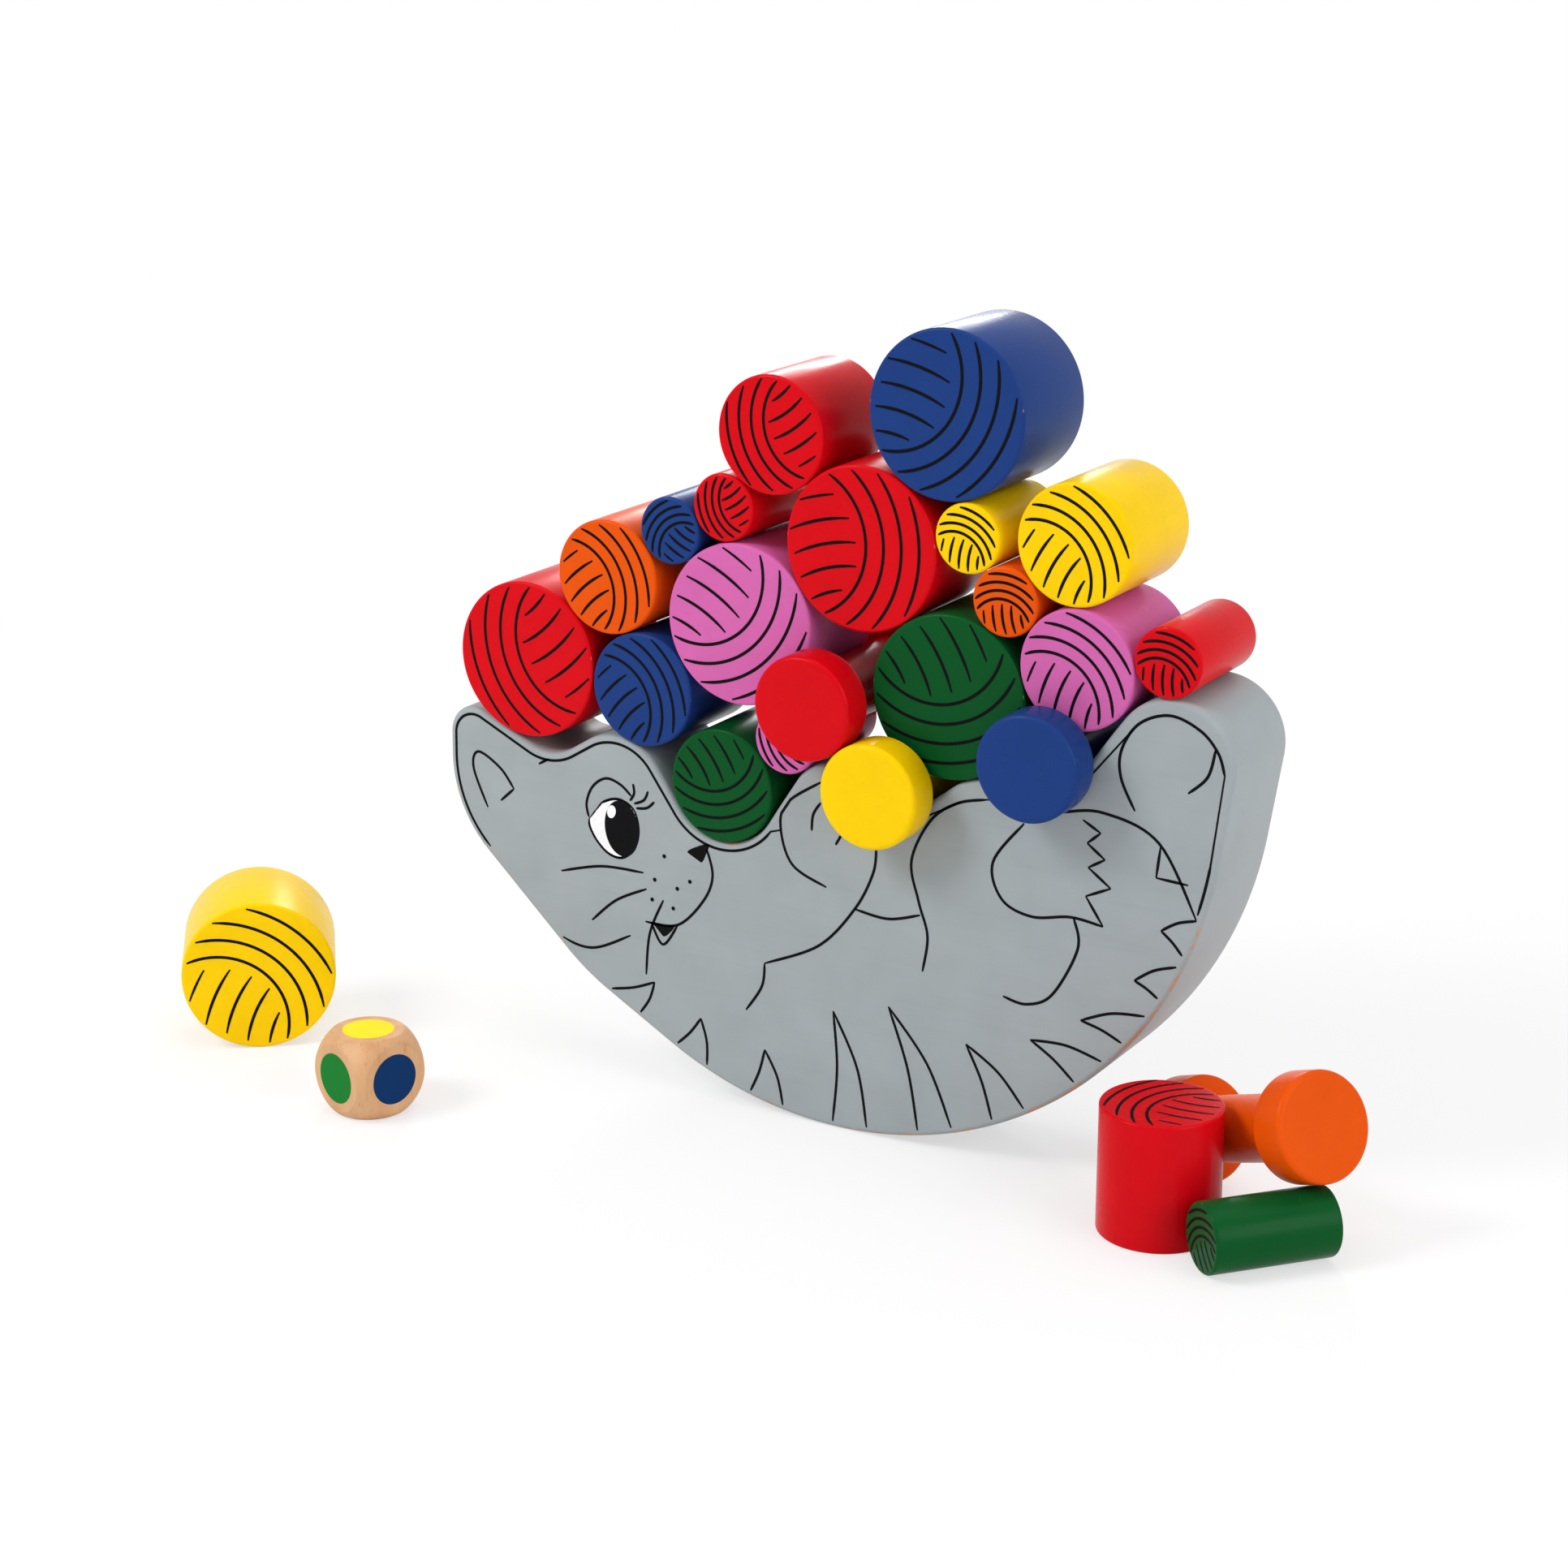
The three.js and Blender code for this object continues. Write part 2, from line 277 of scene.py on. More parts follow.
def lacquer(name, colour, roughness, wear, stretch):
    """Sprayed lacquer over sanded beech: faint grain, uneven gloss and rubbed edges."""
    g = Graph(name)
    cloud = g.noise(CLOUD_SCALE, 4.0)
    grain = g.noise(GRAIN_SCALE, 5.0, stretch)
    peel = g.noise(PEEL_SCALE, 2.0)
    paint = g.mix(g.spread(cloud, 0.3, 0.7, 0.0, 1.0), shade(colour, 0.96), shade(colour, 1.04))
    paint = g.mix(g.spread(grain, 0.5, 0.8, 0.0, 0.16), paint, shade(colour, 0.78))
    rubbed = g.math("MULTIPLY", g.attribute("rim"), g.noise(RUB_SCALE, 6.0))
    bare = g.mix(grain, BEECH_DARK, BEECH_LIGHT)
    paint = g.mix(g.spread(rubbed, 0.64 - wear, 0.70 - wear, 0.0, 0.85), paint, bare)
    g.feed(g.shader, "Base Color", paint)
    g.feed(g.shader, "Roughness", g.spread(cloud, 0.25, 0.75, roughness - 0.05, roughness + 0.1))
    g.feed(g.shader, "IOR", THIN_GLOSS)
    relief = g.math("ADD", g.math("MULTIPLY", grain, 0.8), g.math("MULTIPLY", peel, 0.35))
    g.bump(relief, 0.22, 0.00025)
    return g.material


def bare_beech(name):
    """Sanded beech: long grain, short dark flecks and soft tone bands."""
    g = Graph(name)
    along = g.noise(BEECH_GRAIN_SCALE, 6.0, ALONG_GRAIN)
    fleck = g.noise(BEECH_FLECK_SCALE, 2.0, ALONG_FLECK)
    tone = g.noise(BEECH_TONE_SCALE, 2.0)
    wood = g.mix(g.spread(along, 0.35, 0.7, 0.0, 1.0), BEECH_LIGHT, shade(BEECH_DARK, 1.25))
    wood = g.mix(g.spread(fleck, 0.6, 0.72, 0.0, 0.55), wood, BEECH_DARK)
    wood = g.mix(g.spread(tone, 0.3, 0.7, 0.0, 0.3), wood, shade(BEECH_LIGHT, 1.12))
    g.feed(g.shader, "Base Color", wood)
    g.feed(g.shader, "Roughness", g.spread(along, 0.3, 0.7, 0.5, 0.68))
    g.bump(g.math("ADD", along, fleck), 0.3, 0.0002)
    return g.material


def flat_print(name, colour):
    """Screen-printed ink, slightly uneven in density."""
    g = Graph(name)
    density = g.noise(INK_SCALE, 4.0)
    thin = g.spread(density, 0.35, 0.75, 0.0, 0.5)
    g.feed(g.shader, "Base Color", g.mix(thin, colour, shade(colour, 1.6)))
    roughness = g.spread(density, 0.3, 0.7, PRINT_ROUGHNESS, PRINT_ROUGHNESS + 0.15)
    g.feed(g.shader, "Roughness", roughness)
    g.feed(g.shader, "IOR", THIN_GLOSS)
    g.bump(density, 0.1, 0.0001)
    return g.material


paint_of = {
    colour: lacquer(colour + "_lacquer", value, ROLLER_ROUGHNESS, ROLLER_WEAR, ALONG_AXIS)
    for colour, value in PAINTS.items()
}
die_print_of = {
    colour: lacquer(colour + "_die_print", DIE_PRINTS.get(colour, value), PRINT_ROUGHNESS, 0.0, ALONG_AXIS)
    for colour, value in PAINTS.items()
}
grey_lacquer = lacquer("grey_lacquer", GREY, BOARD_ROUGHNESS, BOARD_WEAR, ALONG_BOARD)
beech = bare_beech("sanded_beech")
black_ink = flat_print("black_ink", INK)
white_ink = flat_print("white_ink", EYE_WHITE)


# Meshes

def add_piece(name, mesh_data, material, node, place, stands_for=True):
    """Makes an object of a bmesh, places it, and lets it ride on its node's body."""
    bmesh.ops.recalc_face_normals(mesh_data, faces=mesh_data.faces)
    data = bpy.data.meshes.new(name)
    mesh_data.to_mesh(data)
    mesh_data.free()
    data.materials.append(material)
    piece = bpy.data.objects.new(name, data)
    bpy.context.scene.collection.objects.link(piece)
    piece.matrix_world = place
    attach(piece, body_of_node[node])
    if stands_for:
        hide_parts(node)
    return piece


def widest_facing(node):
    """Unit normals of a node's flat faces, the largest total area first."""
    areas = {}
    for face in nodes[node].data.polygons:
        key = tuple(round(c, 3) for c in face.normal)
        areas[key] = areas.get(key, 0.0) + face.area
    return [Vector(key).normalized() for key in sorted(areas, key=areas.get, reverse=True)]


def node_centre(node):
    low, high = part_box(node)
    return (low + high) / 2


def axis_place(node, up):
    """Placement with local +Z along a turned piece's axis, towards the viewer, and its print's top up."""
    axis = widest_facing(node)[0]
    if axis.y > 0.0 or axis.z < -0.9:
        axis = -axis
    side = up.cross(axis).normalized()
    top = axis.cross(side)
    turn = Matrix((side, top, axis)).transposed().to_4x4()
    return Matrix.Translation(node_centre(node)) @ turn


def rounded_corner(x, z, edge, start, steps=EDGE_STEPS):
    """Quarter-round between two square sides of a turned profile, as (radius, height, rim) points."""
    points = []
    for step in range(steps + 1):
        angle = math.radians(start + 90.0 * step / steps)
        worn = math.sin(math.pi * step / steps)
        points.append((x + edge * math.cos(angle), z + edge * math.sin(angle), worn))
    return points


def turn_profile(profile):
    """Closed body of revolution about local Z of a profile of (radius, height, rim) from axis to axis."""
    mesh_data = bmesh.new()
    rim = mesh_data.verts.layers.float.new("rim")
    rings = []
    for radius, height, worn in profile:
        sides = 1 if radius == 0.0 else TURNED_SIDES
        ring = []
        for side in range(sides):
            angle = 2.0 * math.pi * side / sides
            vert = mesh_data.verts.new(
                (radius * math.cos(angle) * MM, radius * math.sin(angle) * MM, height * MM)
            )
            vert[rim] = worn
            ring.append(vert)
        rings.append(ring)
    for lower, upper in zip(rings, rings[1:]):
        for side in range(TURNED_SIDES):
            following = (side + 1) % TURNED_SIDES
            corners = [lower[side % len(lower)], lower[following % len(lower)]]
            corners += [upper[following % len(upper)], upper[side % len(upper)]]
            face = mesh_data.faces.new(list(dict.fromkeys(corners)))
            face.smooth = len(lower) > 1 and len(upper) > 1
    return mesh_data


def turned_end(radius, half, edge):
    """Profile of the top end, from the side in to the axis."""
    return rounded_corner(radius - edge, half - edge, edge, 0.0) + [(0.0, half, 0.0)]


def mirrored(profile):
    return [(radius, -height, worn) for radius, height, worn in reversed(profile)]


def roller_mesh(radius, length):
    top = turned_end(radius, length / 2, ROLLER_EDGE)
    return turn_profile(mirrored(top) + top)


def dumbbell_mesh(radius, length):
    half = length / 2
    inner = half - DISC_THICKNESS
    neck = NECK_DIAMETER / 2
    fillet = [
        (neck, inner - NECK_FILLET, 0.0),
        (neck + NECK_FILLET * 0.3, inner - NECK_FILLET * 0.3, 0.0),
        (neck + NECK_FILLET, inner, 0.0),
    ]
    inner_rim = rounded_corner(radius - DISC_EDGE, inner + DISC_EDGE, DISC_EDGE, -90.0)
    top = fillet + inner_rim + turned_end(radius, half, DISC_EDGE)
    return turn_profile(mirrored(top) + top)


def spline(before, start, end, after, t):
    """Catmull-Rom value between start and end."""
    square = 2 * before - 5 * start + 4 * end - after
    cube = 3 * start - before - 3 * end + after
    return 0.5 * (2 * start + (end - before) * t + square * t * t + cube * t ** 3)


def smooth_curve(points):
    """Curve through a few points in a plane."""
    ends = [points[0]] + list(points) + [points[-1]]
    curve = []
    for corners in zip(ends, ends[1:], ends[2:], ends[3:]):
        for step in range(CURVE_STEPS):
            curve.append(tuple(spline(*values, step / CURVE_STEPS) for values in zip(*corners)))
    curve.append(tuple(points[-1]))
    return curve


def add_stroke(mesh_data, path, width, level, outwards):
    """Closed flat ribbon of ink along a path in the XY plane, narrowed a little at its ends."""
    sections = []
    last = len(path) - 1
    for index, (x, y) in enumerate(path):
        ahead = path[min(index + 1, last)]
        behind = path[max(index - 1, 0)]
        across = Vector((behind[1] - ahead[1], ahead[0] - behind[0])).normalized()
        taper = min(1.0, STROKE_END + STROKE_WIDENING * min(index, last - index))
        half = width / 2 * taper
        corners = []
        for side, rise in ((-1, -1), (1, -1), (1, 1), (-1, 1)):
            corners.append(mesh_data.verts.new((
                (x + side * across.x * half) * MM,
                (y + side * across.y * half) * MM,
                (level + outwards * rise * INK_RISE) * MM,
            )))
        sections.append(corners)
    for first, second in zip(sections, sections[1:]):
        for corner in range(4):
            nearby = (corner + 1) % 4
            mesh_data.faces.new((first[corner], first[nearby], second[nearby], second[corner]))
    mesh_data.faces.new(sections[0][::-1])
    mesh_data.faces.new(sections[-1])


def add_patch(mesh_data, outline, level, outwards, rise=INK_RISE):
    """Closed flat patch of ink bounded by an outline in the XY plane."""
    rings = []
    for height in (-rise, rise):
        rings.append([
            mesh_data.verts.new((x * MM, y * MM, (level + outwards * height) * MM)) for x, y in outline
        ])
    count = len(outline)
    for index in range(count):
        following = (index + 1) % count
        mesh_data.faces.new((rings[0][index], rings[0][following], rings[1][following], rings[1][index]))
    mesh_data.faces.new(rings[0][::-1])
    mesh_data.faces.new(rings[1])


def ellipse(x, y, across, up, lean=0.0, count=48):
    points = []
    for step in range(count):
        angle = 2.0 * math.pi * step / count
        u = across * math.cos(angle)
        v = up * math.sin(angle)
        points.append((
            x + u * math.cos(lean) - v * math.sin(lean),
            y + u * math.sin(lean) + v * math.cos(lean),
        ))
    return points


# Wool print on the rollers' ends

# Arcs of the band and of those under it: centre, first radius and pitch in shares of the roller's radius
BAND_ARCS = 4
BAND_CENTRE = (-0.85, -0.05)
BAND_FIRST = 0.93
BAND_PITCH = 0.235
CROSS_ARCS = 5
CROSS_CENTRE = (0.15, -1.75)
CROSS_FIRST = 1.26
CROSS_PITCH = 0.285
CROSS_GAP = 0.09
SHORTEST_ARC = 4
PRINT_MARGIN = 0.9


def clipped_arc(centre, radius, keep, count=160):
    """Longest run of a circle's points that keep() accepts."""
    ring = []
    for step in range(count):
        angle = 2.0 * math.pi * step / count
        ring.append((centre[0] + radius * math.cos(angle), centre[1] + radius * math.sin(angle)))
    inside = [keep(point) for point in ring]
    if all(inside) or not any(inside):
        return []
    start = next(i for i in range(count) if inside[i] and not inside[i - 1])
    run = []
    for offset in range(count):
        if not inside[(start + offset) % count]:
            break
        run.append(ring[(start + offset) % count])
    return run


def wool_strokes(radius, turn):
    """A band of long arcs down one side of the ball, and shorter arcs that run under it."""
    reach = radius - PRINT_MARGIN
    band_centre = tuple(share * radius for share in BAND_CENTRE)
    band_radii = [radius * (BAND_FIRST + BAND_PITCH * arc) for arc in range(BAND_ARCS)]
    cross_centre = tuple(share * radius for share in CROSS_CENTRE)
    cross_radii = [radius * (CROSS_FIRST + CROSS_PITCH * arc) for arc in range(CROSS_ARCS)]

    def in_ball(point):
        return math.hypot(*point) < reach

    def under_band(point):
        return in_ball(point) and math.dist(point, band_centre) < band_radii[0] - CROSS_GAP * radius

    arcs = [clipped_arc(band_centre, r, in_ball) for r in band_radii]
    arcs += [clipped_arc(cross_centre, r, under_band) for r in cross_radii]
    cos, sin = math.cos(turn), math.sin(turn)
    return [
        [(x * cos - y * sin, x * sin + y * cos) for x, y in arc] for arc in arcs if len(arc) > SHORTEST_ARC
    ]


def wool_print(node, radius, length, place):
    mesh_data = bmesh.new()
    turn = math.radians(PRINT_TURNS[node])
    width = ROLLER_LINE * (ROLLER_LINE_LEAST + radius / ROLLER_LINE_GROWTH)
    for outwards in (1, -1):
        for stroke in wool_strokes(radius, turn):
            add_stroke(mesh_data, stroke, width, outwards * length / 2, outwards)
    add_piece(node + "_print", mesh_data, black_ink, node, place, stands_for=False)


def dress_turned_pieces():
    for node in sorted(nodes):
        kind = node.split("_")
        if "roller" not in kind and "dumbbell" not in kind:
            continue
        if "standing" in kind:
            up = Vector((0.0, 1.0, 0.0))
        else:
            up = Vector((0.0, 0.0, 1.0))
        place = axis_place(node, up)
        inverse = place.inverted()
        local = [inverse @ v.co for v in nodes[node].data.vertices]
        radius = max(math.hypot(v.x, v.y) for v in local) / MM
        length = 2.0 * max(abs(v.z) for v in local) / MM
        paint = paint_of[kind[0]]
        if "dumbbell" in kind:
            add_piece(node + "_turned", dumbbell_mesh(radius, length), paint, node, place)
        else:
            add_piece(node + "_turned", roller_mesh(radius, length), paint, node, place)
            wool_print(node, radius, length, place)


# Rocker board

PART_NAMES = [row[0] for row in OUTLINE]
FOOT = PART_NAMES.index("foot")
BASE = PART_NAMES.index("base")


def outline_points():
    """Points of the outline in millimetres, each with its outward direction and its row in OUTLINE."""
    count = len(OUTLINE)
    leaving, meeting = [0.0] * count, [0.0] * count
    circles = [(x * BASE_RADIUS, z * BASE_RADIUS, radius, hollow) for _, x, z, radius, hollow in OUTLINE]
    for index, (x, z, radius, hollow) in enumerate(circles):
        next_x, next_z, next_radius, next_hollow = circles[(index + 1) % count]
        here = radius if hollow else -radius
        there = next_radius if next_hollow else -next_radius
        across = math.hypot(next_x - x, next_z - z)
        direction = math.atan2(next_z - z, next_x - x) - math.asin((there - here) / across)
        leaving[index] = direction + (-math.pi / 2 if hollow else math.pi / 2)
        meeting[(index + 1) % count] = direction + (-math.pi / 2 if next_hollow else math.pi / 2)
    points = []
    for index, (x, z, radius, hollow) in enumerate(circles):
        turn = 1 if hollow else -1
        sweep = (turn * (leaving[index] - meeting[index])) % (2.0 * math.pi)
        steps = max(4, math.ceil(sweep * radius / OUTLINE_STEP))
        for step in range(steps + 1):
            angle = meeting[index] + turn * sweep * step / steps
            facing = Vector((math.cos(angle), math.sin(angle)))
            out = -facing if hollow else facing
            points.append((Vector((x, z)) + facing * radius, out, index))
    return points


outline = outline_points()
board_low, board_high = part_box("cat_rocker")
board_half = (board_high.y - board_low.y) / 2 / MM
rocker_origin = Vector((
    board_low.x - min(p.x for p, _, _ in outline) * MM,
    (board_low.y + board_high.y) / 2,
    board_low.z - min(p.y for p, _, _ in outline) * MM,
))
# Local X and Y lie along the board, with Y up, and local Z points out of the printed face
face_place = Matrix.Translation(rocker_origin) @ Matrix.Rotation(math.pi / 2, 4, "X")

# The rim is rubbed more below this height
WORN_BELOW = 85.0
LOWER_RUB = 1.2
UPPER_RUB = 0.8


def rocker_mesh():
    """Board with eased edges: rings of the outline from the back face to the front face."""
    mesh_data = bmesh.new()
    rim = mesh_data.verts.layers.float.new("rim")
    rings = []
    for side in (-1, 1):
        for step in range(EDGE_STEPS + 1):
            share = step / EDGE_STEPS if side > 0 else 1.0 - step / EDGE_STEPS
            angle = math.pi / 2 * share
            inset = BOARD_EDGE * (1.0 - math.cos(angle))
            level = side * (board_half - BOARD_EDGE * (1.0 - math.sin(angle)))
            ring = []
            for point, out, _ in outline:
                edge_point = point - out * inset
                vert = mesh_data.verts.new((edge_point.x * MM, edge_point.y * MM, level * MM))
                vert[rim] = math.sin(math.pi * share) * (LOWER_RUB if point.y < WORN_BELOW else UPPER_RUB)
                ring.append(vert)
            rings.append(ring)
    count = len(outline)
    for lower, upper in zip(rings, rings[1:]):
        for index in range(count):
            following = (index + 1) % count
            face = mesh_data.faces.new((lower[index], lower[following], upper[following], upper[index]))
            face.smooth = True
    bmesh.ops.remove_doubles(mesh_data, verts=mesh_data.verts, dist=1e-6)
    for cap in (rings[0], rings[-1]):
        alive = [v for v in cap if v.is_valid]
        mesh_data.faces.new(alive)
    bmesh.ops.triangulate(mesh_data, faces=[f for f in mesh_data.faces if len(f.verts) > 4])
    return mesh_data


# The cat's drawing, in our own plain strokes: x along the board, y up, in millimetres
CURVED_STROKES = [
    [(-124, 80), (-129, 92), (-127, 97.5), (-119, 93.5), (-114, 87.5)],
    [(-114, 87.5), (-119, 83)],
    [(-104.5, 97), (-100, 99.5)],
    [(-86.5, 83), (-87.2, 87.5), (-84.8, 93), (-80, 96.2), (-74.8, 95), (-71, 92)],
    [(-71.5, 90.5), (-70, 93), (-70.3, 96)],
    [(-70, 89.8), (-66.5, 91.5), (-65, 94.5)],
    [(-69.3, 88.5), (-65.5, 89.2), (-62.8, 91.5)],
    [(-97, 64), (-82, 68), (-67, 68.5)],
    [(-86, 50), (-77, 58), (-66, 63.5)],
    [(-60, 61), (-65, 49.5), (-66.5, 36)],
    [(-44.5, 80), (-42.5, 71.5), (-46, 63), (-55, 54), (-66.5, 53)],
    [(-64.5, 53.2), (-60.3, 46.8), (-55, 53.8)],
    [(-108, 50), (-98, 43), (-86, 41), (-72, 47.5)],
    [(-8.5, 91.5), (-8, 96.5), (-5.5, 100.5)],
    [(-0.5, 88.5), (1.5, 92)],
    [(13, 90), (12, 82), (6, 70), (-6, 56.5), (-24.5, 47.5)],
    [(-24.5, 47.5), (-25.5, 40), (-31, 31.5)],
    [(6, 70), (17, 69), (27.5, 72)],
    [(60, 105), (50.5, 92), (53.5, 81.5), (63, 78), (75, 80), (85, 79)],
    [(71, 110), (84, 112), (101, 106), (113.5, 84.5)],
    [(76, 80), (77.5, 71), (70, 56), (62, 51.5), (54.5, 52.5)],
    [(116.5, 135), (114.5, 127), (109, 121.5)],
]

# Front paw, knee and hind paw, which take the place of the border line along the edge
EDGE_STROKES = [
    [(-5, 107), (-16.5, 99), (-19, 91), (-15, 80), (-3.5, 75)],
    [(48, 110), (39, 107.5), (30.5, 101), (24.5, 88), (27, 76), (30, 66), (28.5, 55)],
    [(93.5, 114), (89, 123), (89, 131), (94, 139), (103, 142.5), (112, 139.5), (117.3, 134), (119.4, 128)],
]
STRAIGHT_STROKES = [
    [(101.5, 105), (100.5, 96), (110, 95.5)],
    [(78, 109), (83.5, 106), (79.5, 102.5), (85, 98.5), (80, 95.5), (87, 90.5), (79.5, 87), (85, 79)],
]
WHISKER_DOTS = [(-59.5, 75), (-63, 67), (-50.5, 68.5), (-55, 65.5), (-64, 60.5), (-56.5, 59)]
NOSE = [(-51.3, 77.6), (-47.5, 80.2), (-43.8, 81.3), (-44.8, 78), (-46.8, 75.2)]
MOUTH = [(-64.2, 53.2), (-60, 53), (-56.2, 53.4), (-58.2, 50.6), (-60.6, 49.6)]
EYE = [
    (-86.3, 82.5), (-84.8, 77.5), (-80, 72.8), (-74.5, 72), (-70, 76),
    (-68.6, 82), (-70.5, 88), (-76, 90.3), (-82.3, 87.8),
]

# Ovals of the eye: place, half width, half height and lean in radians; their ink lies over the white
PUPIL = (-74.6, 81.2, 6.1, 8.8, 0.08)
PUPIL_RISE = 1.5 * INK_RISE
GLINT = (-78.2, 86.0, 1.5, 2.1, -0.3)
GLINT_RISE = 2.0 * INK_RISE
WHISKER_DOT_RADIUS = 0.65
WHISKER_DOT_SIDES = 20

# Fur: for each tuft the place of its foot round the base curve in degrees, and its tip
FUR = [
    (229.0, (-63.5, 34.0)), (242.0, (-47.0, 25.5)), (255.5, (-24.5, 20.0)), (269.5, (-1.0, 37.0)),
    (283.5, (17.5, 42.0)), (296.0, (43.0, 35.5)), (311.0, (63.5, 41.0)), (321.0, (79.0, 50.0)),
    (330.0, (95.0, 65.0)), (337.5, (102.5, 81.0)),
]
FUR_FOOT = 5.6
FUR_BOWS = (0.04, 0.07)
FUR_REACH = 4.0
FUR_STEP = 0.1
STROKE_MARGIN = 1.8
LEG_STEPS = 8
BORDER_LOW_LEFT = 62.0
BORDER_LOW_RIGHT = 86.0
BORDER_CLEARANCE = 3.6


def closed_curve(points):
    """Smooth closed curve through a few points."""
    wrapped = points[-2:] + points + points[:2]
    return smooth_curve(wrapped)[2 * CURVE_STEPS:-2 * CURVE_STEPS - 1]


def board_depth(x, y):
    """Distance of a point from the board's outline, positive inside the board."""
    inside = False
    nearest = math.inf
    for (first, _, _), (second, _, _) in zip(outline, outline[1:] + outline[:1]):
        along = second - first
        length = along.length_squared
        offset = Vector((x, y)) - first
        share = 0.0 if length == 0.0 else min(1.0, max(0.0, offset.dot(along) / length))
        nearest = min(nearest, (offset - along * share).length)
        if (first.y > y) != (second.y > y):
            crossing = first.x + (y - first.y) / (second.y - first.y) * (second.x - first.x)
            inside = inside != (x < crossing)
    return nearest if inside else -nearest


def kept_on_board(path):
    return [point for point in path if board_depth(*point) > STROKE_MARGIN]


def fur_tufts():
    """Pointed tufts that stand on the base curve."""
    strokes = []
    for place, tip in FUR:
        for angle, bow in zip((place, place + FUR_FOOT), FUR_BOWS):
            turn = math.radians(angle)
            ray = Vector((math.cos(turn), math.sin(turn)))
            end = Vector((0.0, BASE_RADIUS)) + ray * (BASE_RADIUS + FUR_REACH)
            while board_depth(*end) < STROKE_MARGIN + FUR_STEP:
                end -= ray * FUR_STEP
            middle = end.lerp(Vector(tip), 0.5)
            side = Vector((tip[1] - end.y, end.x - tip[0]))
            strokes.append([tuple(end), tuple(middle + side * bow), tip])
    return strokes


def border_lines(edge_strokes):
    """Lines along the board's upper edge, which run into a paw's own line where that comes near."""
    left = [row for row in outline if row[2] > BASE and row[0].y > BORDER_LOW_LEFT]
    top = [row for row in outline if row[2] <= FOOT]
    right = [row for row in outline if row[2] == BASE and row[0].x > 0.0 and row[0].y > BORDER_LOW_RIGHT]
    beside = [Vector(point) for stroke in edge_strokes for point in stroke]
    lines = [[]]
    meeting = None
    for point, out, _ in left + top + right:
        place = point - out * BORDER_INSET
        nearest = min(beside, key=lambda other: (other - place).length)
        if (nearest - place).length > BORDER_CLEARANCE:
            if meeting is not None:
                lines.append([tuple(meeting)])
            meeting = None
            lines[-1].append(tuple(place))
            continue
        if meeting is None:
            lines[-1].append(tuple(nearest))
        meeting = nearest
    return lines


def straight_legs(points):
    """Each straight leg of a zigzag as a stroke of its own."""
    for start, end in zip(points, points[1:]):
        yield [tuple(Vector(start).lerp(Vector(end), step / LEG_STEPS)) for step in range(LEG_STEPS + 1)]


def cat_drawing():
    """Ink of the front face, drawn in the face's plane, and the whites of the eye."""
    ink, white = bmesh.new(), bmesh.new()
    edge_strokes = [smooth_curve(points) for points in EDGE_STROKES]
    strokes = edge_strokes + [smooth_curve(points) for points in CURVED_STROKES + fur_tufts()]
    for points in STRAIGHT_STROKES:
        strokes.extend(straight_legs(points))
    strokes.extend(border_lines(edge_strokes))
    for path in strokes:
        kept = kept_on_board(path)
        if len(kept) > 2:
            add_stroke(ink, kept, CAT_LINE, board_half, 1)
    for x, y in WHISKER_DOTS:
        dot = ellipse(x, y, WHISKER_DOT_RADIUS, WHISKER_DOT_RADIUS, count=WHISKER_DOT_SIDES)
        add_patch(ink, dot, board_half, 1)
    for shape in (NOSE, MOUTH):
        add_patch(ink, closed_curve(shape), board_half, 1)
    eye = closed_curve(EYE)
    add_patch(white, eye, board_half, 1)
    add_stroke(ink, eye + eye[:1], CAT_LINE, board_half, 1)
    add_patch(ink, ellipse(*PUPIL), board_half, 1, PUPIL_RISE)
    add_patch(white, ellipse(*GLINT), board_half, 1, GLINT_RISE)
    return ink, white


def dress_rocker():
    add_piece("cat_rocker_board", rocker_mesh(), grey_lacquer, "cat_rocker", face_place)
    ink, white = cat_drawing()
    add_piece("cat_drawing", ink, black_ink, "cat_rocker", face_place, stands_for=False)
    add_piece("cat_eye_white", white, white_ink, "cat_rocker", face_place, stands_for=False)


# Colour die

def die_mesh(size):
    """Cube tumbled by a ball: six flats with crisp round rims and ball-shaped corners between them."""
    body = bmesh.new()
    half = size / 2
    ball = DIE_ROUNDING * size
    rim = math.sqrt(ball ** 2 - half ** 2) - DIE_RIM_EASE
    for axis in range(3):
        for height in (-half, half):
            for step in range(DIE_RIM_SIDES):
                angle = math.tau * step / DIE_RIM_SIDES
                place = [rim * math.cos(angle), rim * math.sin(angle)]
                place.insert(axis, height)
                body.verts.new(Vector(place) * MM)
    for index in range(DIE_BALL_POINTS):
        height = 1.0 - 2.0 * (index + 0.5) / DIE_BALL_POINTS
        across = math.sqrt(1.0 - height ** 2)
        angle = math.pi * (3.0 - math.sqrt(5.0)) * index
        place = ball * Vector((across * math.cos(angle), across * math.sin(angle), height))
        if max(abs(value) for value in place) < half - DIE_RIM_EASE:
            body.verts.new(place * MM)
    bmesh.ops.convex_hull(body, input=body.verts[:])
    body.normal_update()
    for face in body.faces:
        face.smooth = True
    for edge in body.edges:
        level = [max(abs(value) for value in face.normal) > DIE_FLAT_NORMAL for face in edge.link_faces]
        edge.smooth = len(set(level)) == 1
    return body


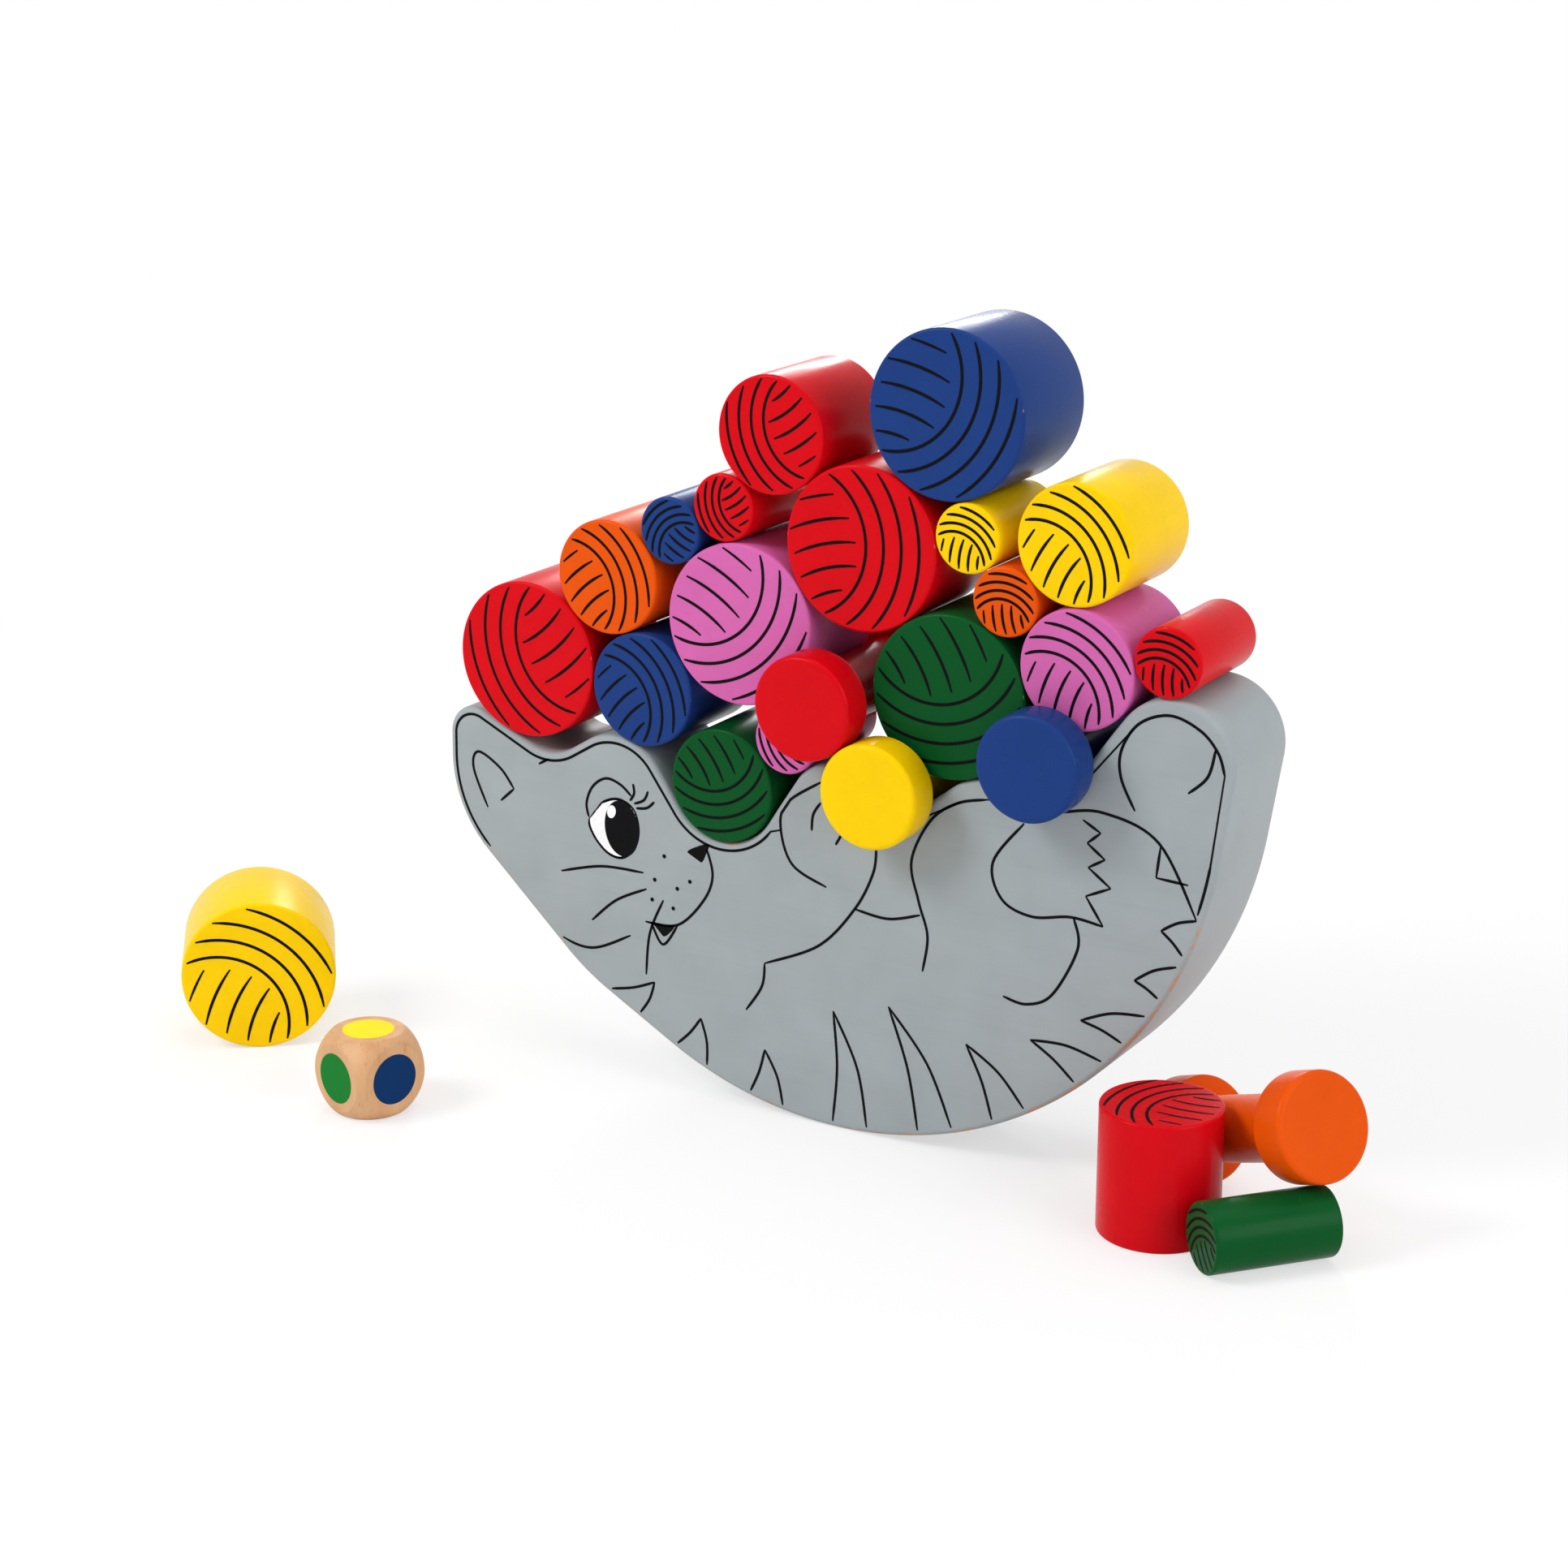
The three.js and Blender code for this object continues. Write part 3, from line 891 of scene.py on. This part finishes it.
def dress_die():
    node = "colour_die"
    low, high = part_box(node)
    size = high.z - low.z
    facings = widest_facing(node)[:6]
    front = min((f for f in facings if abs(f.z) < 0.5), key=lambda f: f.y)
    side = front.cross(Vector((0.0, 0.0, 1.0)))
    place = Matrix.Translation(node_centre(node)) @ Matrix((side, front, (0, 0, 1))).transposed().to_4x4()
    add_piece("colour_die_cube", die_mesh(size / MM), beech, node, place)
    half = DIE_SPOT_DIAMETER / 2
    for colour, (angle, about) in DIE_SPOTS.items():
        spot = bmesh.new()
        add_patch(spot, ellipse(0.0, 0.0, half, half, count=DIE_RIM_SIDES), size / 2 / MM, 1)
        turned = place @ Matrix.Rotation(math.radians(angle), 4, about)
        add_piece("colour_die_spot_" + colour, spot, die_print_of[colour], node, turned,
                  stands_for=False)


# Floor, light and camera

WHITE = (1.0, 1.0, 1.0, 1.0)
ROOM_STRENGTH = 0.45
FLOOR_SIZE = 12.0
FLOOR_COLOUR = (0.93, 0.93, 0.93, 1.0)
FLOOR_ROUGHNESS = 0.8

# The shadow is darkest nearer than the first distance and gone past the second, both in metres; the lift
# is the share of white laid over it where it is darkest
SHADOW_NEAR = 0.3
SHADOW_FAR = 0.7
SHADOW_LIFT = 0.6


def make_floor():
    """White table that keeps the object's shadow and fades into the white background around it."""
    mesh_data = bmesh.new()
    bmesh.ops.create_grid(mesh_data, x_segments=1, y_segments=1, size=FLOOR_SIZE / 2)
    data = bpy.data.meshes.new("floor")
    mesh_data.to_mesh(data)
    mesh_data.free()
    floor = bpy.data.objects.new("floor", data)
    bpy.context.scene.collection.objects.link(floor)
    g = Graph("white_table")
    g.feed(g.shader, "Base Color", FLOOR_COLOUR)
    g.feed(g.shader, "Roughness", FLOOR_ROUGHNESS)
    nodes_new = g.tree.nodes.new
    glow = nodes_new("ShaderNodeEmission")
    glow.inputs["Strength"].default_value = 1.0
    path = nodes_new("ShaderNodeLightPath")
    seen = g.math("MAXIMUM", path.outputs["Is Camera Ray"], path.outputs["Is Glossy Ray"])
    seen = g.math("MAXIMUM", seen, path.outputs["Is Transmission Ray"])
    coordinates = nodes_new("ShaderNodeTexCoord")
    away = nodes_new("ShaderNodeVectorMath")
    away.operation = "LENGTH"
    g.tree.links.new(coordinates.outputs["Object"], away.inputs[0])
    fade = g.spread(away.outputs["Value"], SHADOW_NEAR, SHADOW_FAR, SHADOW_LIFT, 1.0)
    blend = nodes_new("ShaderNodeMixShader")
    g.tree.links.new(g.math("MULTIPLY", seen, fade), blend.inputs["Fac"])
    g.tree.links.new(g.shader.outputs["BSDF"], blend.inputs[1])
    g.tree.links.new(glow.outputs["Emission"], blend.inputs[2])
    g.tree.links.new(blend.outputs["Shader"], g.tree.nodes["Material Output"].inputs["Surface"])
    data.materials.append(g.material)


def make_world():
    """Soft white room that the camera and reflections see as plain white."""
    world = bpy.data.worlds.new("studio")
    bpy.context.scene.world = world
    world.use_nodes = True
    tree = world.node_tree
    soft = tree.nodes["Background"]
    soft.inputs["Color"].default_value = WHITE
    soft.inputs["Strength"].default_value = ROOM_STRENGTH
    white = tree.nodes.new("ShaderNodeBackground")
    white.inputs["Color"].default_value = WHITE
    white.inputs["Strength"].default_value = 1.0
    path = tree.nodes.new("ShaderNodeLightPath")
    seen = None
    for name in ("Is Camera Ray", "Is Glossy Ray", "Is Transmission Ray"):
        if seen is None:
            seen = path.outputs[name]
            continue
        either = tree.nodes.new("ShaderNodeMath")
        either.operation = "MAXIMUM"
        tree.links.new(seen, either.inputs[0])
        tree.links.new(path.outputs[name], either.inputs[1])
        seen = either.outputs["Value"]
    blend = tree.nodes.new("ShaderNodeMixShader")
    tree.links.new(seen, blend.inputs["Fac"])
    tree.links.new(soft.outputs["Background"], blend.inputs[1])
    tree.links.new(white.outputs["Background"], blend.inputs[2])
    tree.links.new(blend.outputs["Shader"], tree.nodes["World Output"].inputs["Surface"])


# Soft boxes: place from the rocker's foot in metres, sides in metres, power in watts
LIGHT_AIM = (0.0, 0.0, 0.1)
SOFT_BOXES = {
    "key": ((-0.58, -0.68, 0.85), (0.42, 0.42), 6.8),
    "fill": ((1.40, -0.30, 0.70), (0.9, 0.9), 8.5),
    "top": ((0.15, 0.1, 1.5), (1.2, 1.2), 5.5),
    "back": ((-0.65, 1.19, 0.66), (0.3, 0.3), 4.5),
}


def make_lights():
    for name, (place, sides, power) in SOFT_BOXES.items():
        data = bpy.data.lights.new(name, "AREA")
        data.shape = "RECTANGLE"
        data.size, data.size_y = sides
        data.energy = power
        light = bpy.data.objects.new(name, data)
        bpy.context.scene.collection.objects.link(light)
        light.location = rocker_origin + Vector(place)
        aim = rocker_origin + Vector(LIGHT_AIM) - light.location
        light.rotation_euler = aim.to_track_quat("-Z", "Y").to_euler()


def make_camera():
    data = bpy.data.cameras.new("camera")
    data.sensor_width = SENSOR
    data.lens = SENSOR * CAMERA_FOCUS_PIXELS / PHOTO_PIXELS
    data.clip_end = CAMERA_REACH
    camera = bpy.data.objects.new("camera", data)
    bpy.context.scene.collection.objects.link(camera)
    azimuth, elevation = math.radians(CAMERA_AZIMUTH), math.radians(CAMERA_ELEVATION)
    back = Vector((
        math.sin(azimuth) * math.cos(elevation),
        -math.cos(azimuth) * math.cos(elevation),
        math.sin(elevation),
    ))
    camera.location = rocker_origin + Vector(CAMERA_TARGET) * MM + back * CAMERA_DISTANCE * MM
    camera.rotation_euler = (-back).to_track_quat("-Z", "Y").to_euler()
    bpy.context.scene.camera = camera


make_camera()
dress_turned_pieces()
dress_rocker()
dress_die()
make_floor()
make_world()
make_lights()
bpy.context.scene.view_settings.view_transform = "Standard"
